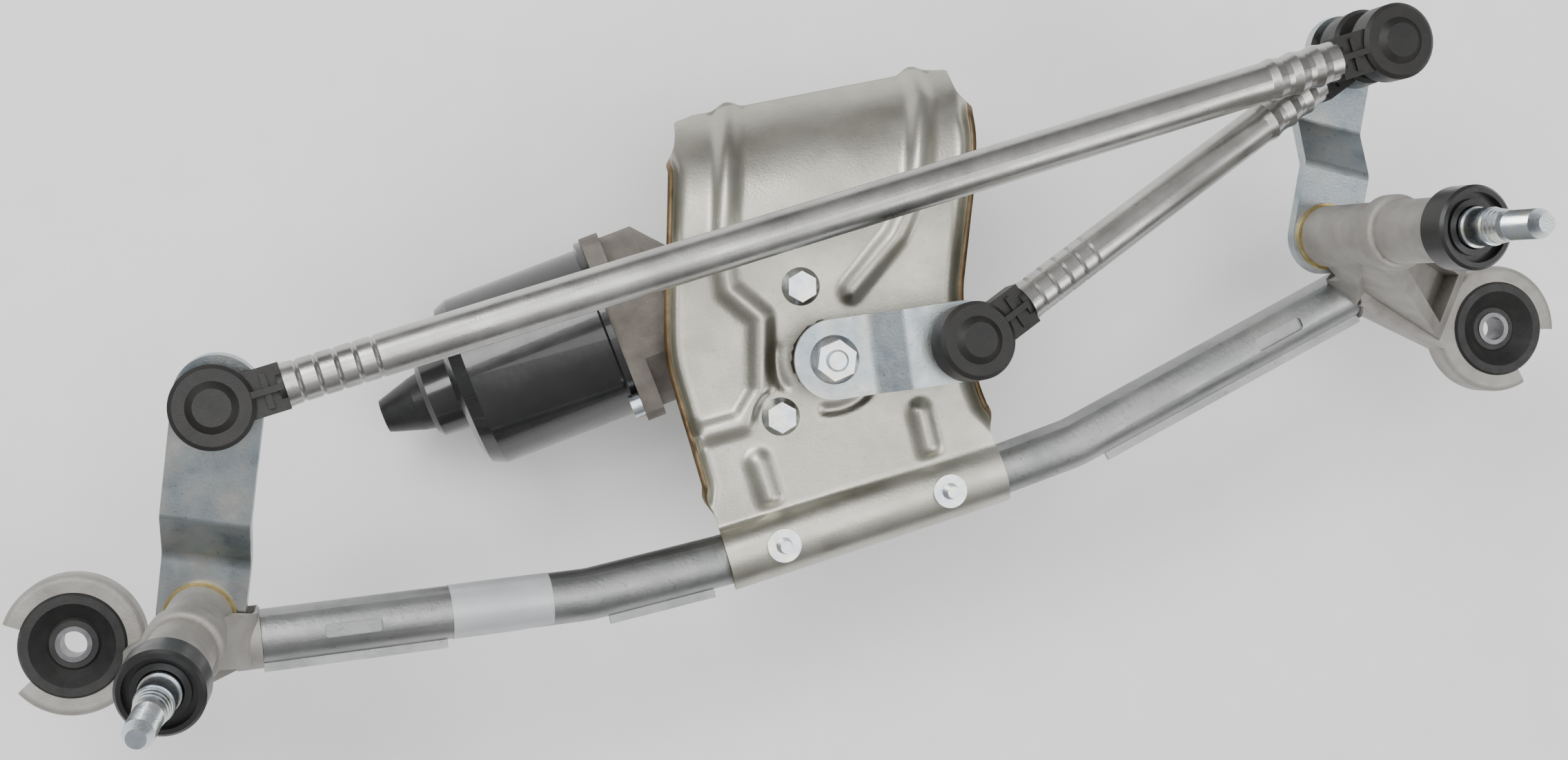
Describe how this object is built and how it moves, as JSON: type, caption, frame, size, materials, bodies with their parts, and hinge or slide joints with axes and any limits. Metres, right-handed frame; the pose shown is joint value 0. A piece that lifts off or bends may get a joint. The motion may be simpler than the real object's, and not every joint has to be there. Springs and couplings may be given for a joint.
{
  "type": "windshield wiper assembly",
  "caption": "Wiper linkage on a bent tube frame: gear motor, crank and two ball-jointed links turn two tilted wiper spindles in rubber-mounted cast housings.",
  "frame": {"origin": "midway between the two grommet bores, in the plane of their front rims", "axes": "+X from the left grommet to the right one, +Z the way the mounting bolts leave"},
  "size_m": [0.5897, 0.1798, 0.2274],
  "materials": {
    "galvanised_tube": "dull zinc coat",
    "bracket_zinc": "soft zinc sheen",
    "cast_alloy": "matte die-cast",
    "gear_casting": "matte die-cast",
    "bright_zinc": "bright zinc plate",
    "lever_zinc": "satin zinc plate",
    "rod_steel": "satin steel",
    "socket_plastic": "matte moulded plastic",
    "cap_plastic": "semi-gloss plastic",
    "rubber": "matte rubber",
    "black_paint": "semi-gloss black paint",
    "ball_steel": "ground steel",
    "washer_gold": "yellow passivated",
    "spring_steel": "oiled spring steel",
    "bronze": "sintered bronze",
    "wheel_plastic": "natural acetal",
    "core_steel": "laminated steel",
    "copper": "enamelled copper",
    "brush_carbon": "carbon",
    "label_film": "blank film"
  },
  "bodies": {
    "frame": {"armature_bearings": "ball_steel", "blank_label": "label_film", "bracket_rivets": "bright_zinc", "brush_card": "socket_plastic", "brushes": "brush_carbon", "connector_terminals": "washer_gold", "cover_screws": "bright_zinc", "drain_nozzle": "cap_plastic", "field_magnets": "core_steel", "frame_tube": "galvanised_tube", "gear_cover": "socket_plastic", "gear_housing": "gear_casting", "left_cap": "cap_plastic", "left_grommet": "rubber", "left_lower_bush": "bronze", "left_mount_sleeve": "spring_steel", "left_pivot_housing": "cast_alloy", "left_thrust_washer": "spring_steel", "left_upper_bush": "bronze", "motor_bolts": "bright_zinc", "motor_bracket": "bracket_zinc", "motor_yoke": "black_paint", "output_bush": "bronze", "output_seal": "rubber", "right_cap": "cap_plastic", "right_grommet": "rubber", "right_lower_bush": "bronze", "right_mount_sleeve": "spring_steel", "right_pivot_housing": "cast_alloy", "right_thrust_washer": "spring_steel", "right_upper_bush": "bronze", "rivet_washers": "bright_zinc", "yoke_screws": "bright_zinc"},
    "crank": {"output_shaft": "bright_zinc", "worm_wheel": "wheel_plastic", "park_disc": "washer_gold", "crank_arm": "lever_zinc", "crank_nut": "bright_zinc", "crank_ball_rivet": "bright_zinc"},
    "armature": {"armature_shaft": "ball_steel", "armature_core": "core_steel", "armature_windings": "copper", "commutator": "copper"},
    "right_lever": {"right_spindle": "bright_zinc", "right_lever": "lever_zinc", "right_lever_washer": "washer_gold", "right_circlip": "spring_steel", "right_double_ball_stud": "ball_steel"},
    "left_lever": {"left_spindle": "bright_zinc", "left_lever": "lever_zinc", "left_lever_washer": "washer_gold", "left_circlip": "spring_steel", "left_ball_stud": "ball_steel"},
    "long_link": {"long_link_rod": "rod_steel", "long_link_left_socket": "socket_plastic", "long_link_right_socket": "socket_plastic"},
    "drive_link": {"drive_link_rod": "rod_steel", "drive_link_left_socket": "socket_plastic", "drive_link_right_socket": "socket_plastic", "crank_ball_stud": "ball_steel"}
  },
  "joints": [
    {"name": "crank_turn", "type": "hinge", "parent": "frame", "child": "crank", "pos_m": [0.0091, 0.0429, -0.007], "axis": [-0.105, -0.0115, 0.9944], "range_deg": [-95, 0]},
    {"name": "right_lever_sweep", "type": "hinge", "parent": "frame", "child": "right_lever", "pos_m": [0.2018, 0.0496, 0.013], "axis": [0.123, -0.035, 0.9918], "range_deg": [0, 60.68]},
    {"name": "left_lever_sweep", "type": "hinge", "parent": "frame", "child": "left_lever", "pos_m": [-0.2278, 0.0012, 0.008], "axis": [-0.148, -0.184, 0.9717], "range_deg": [0, 54.09]},
    {"name": "long_link_swing", "type": "hinge", "parent": "right_lever", "child": "long_link", "pos_m": [0.23176, 0.11537, 0.03283], "axis": [0.1427, 0.0082, 0.9897], "range_deg": [-60.76, 0]},
    {"name": "drive_link_swing", "type": "hinge", "parent": "right_lever", "child": "drive_link", "pos_m": [0.2292, 0.1161, 0.0122], "axis": [0.1247, 0.0347, 0.9916], "range_deg": [-49.04, 0]},
    {"name": "armature_spin", "type": "hinge", "parent": "frame", "child": "armature", "pos_m": [0.00642, 0.08006, -0.04104], "axis": [-0.9802, -0.1674, -0.1055], "continuous": true}
  ],
  "couplings": [
    {"joint": "right_lever_sweep", "follows": "crank_turn", "ratio": -0.63865},
    {"joint": "left_lever_sweep", "follows": "crank_turn", "ratio": -0.56936},
    {"joint": "long_link_swing", "follows": "crank_turn", "ratio": 0.63948},
    {"joint": "drive_link_swing", "follows": "crank_turn", "ratio": 0.51611},
    {"joint": "armature_spin", "follows": "crank_turn", "ratio": 44}
  ]
}
